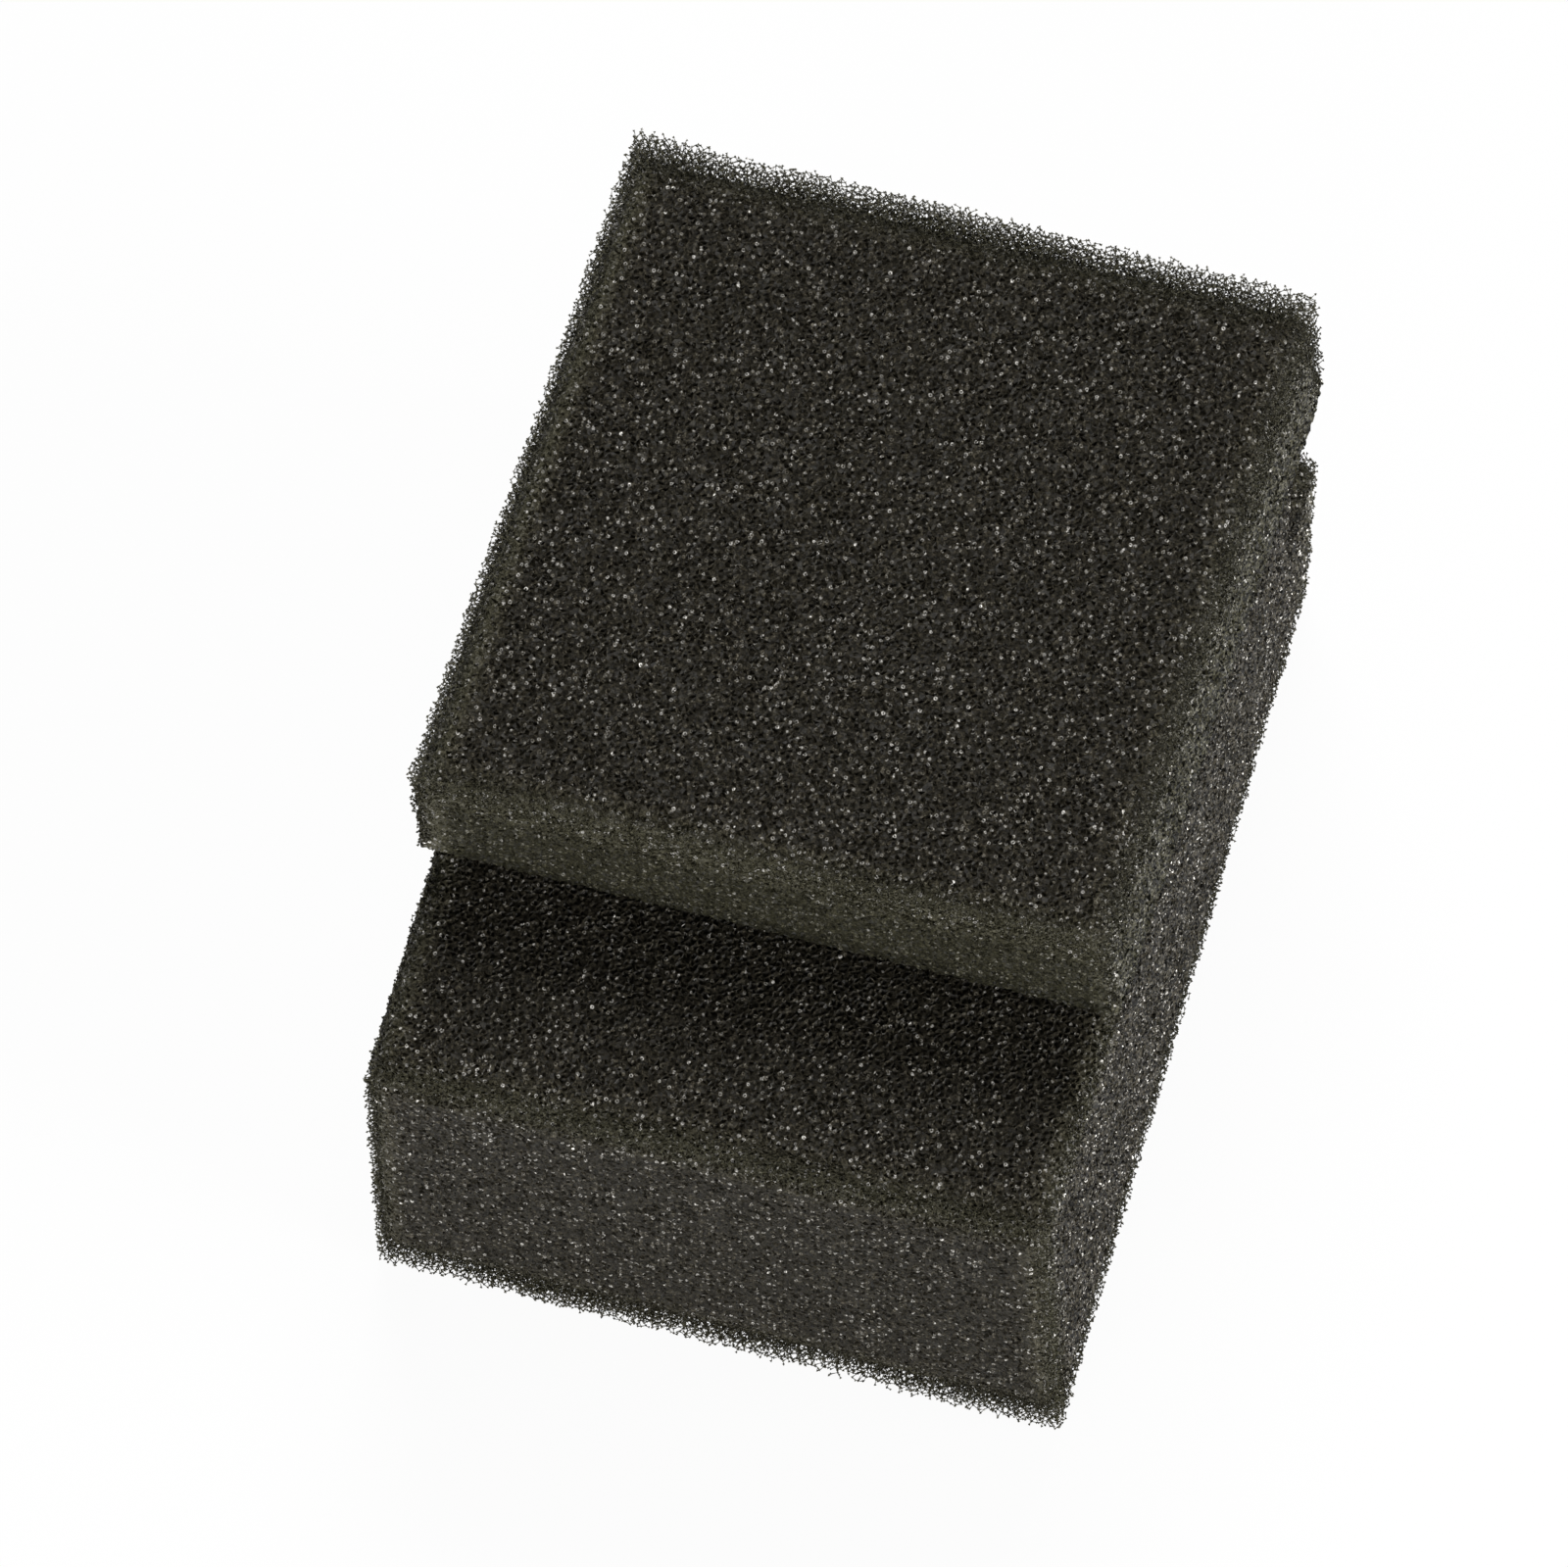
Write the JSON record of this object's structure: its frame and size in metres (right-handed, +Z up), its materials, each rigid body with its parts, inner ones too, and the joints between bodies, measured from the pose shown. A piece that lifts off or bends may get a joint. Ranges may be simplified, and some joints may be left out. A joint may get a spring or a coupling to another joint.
{
  "type": "sponge filter",
  "caption": "Coarse charcoal filter foam for an aquarium or pond filter: a thinner pad lying on a thick block with a front step and a rebate at the back.",
  "frame": {"origin": "centre of the block's length and width, on its underside", "axes": "+Z up through the stack, +X across the width to the right seen from the front, -Y towards the front, where the step is"},
  "size_m": [0.0618, 0.082, 0.0548],
  "materials": {
    "reticulated_foam": "matte"
  },
  "bodies": {
    "block": {"base_block": "reticulated_foam"},
    "pad": {"top_pad": "reticulated_foam"}
  },
  "joints": [
    {"name": "pad_lift", "type": "slide", "parent": "block", "child": "pad", "axis": [0, 0, 1], "range_m": [0, 0.03]}
  ]
}
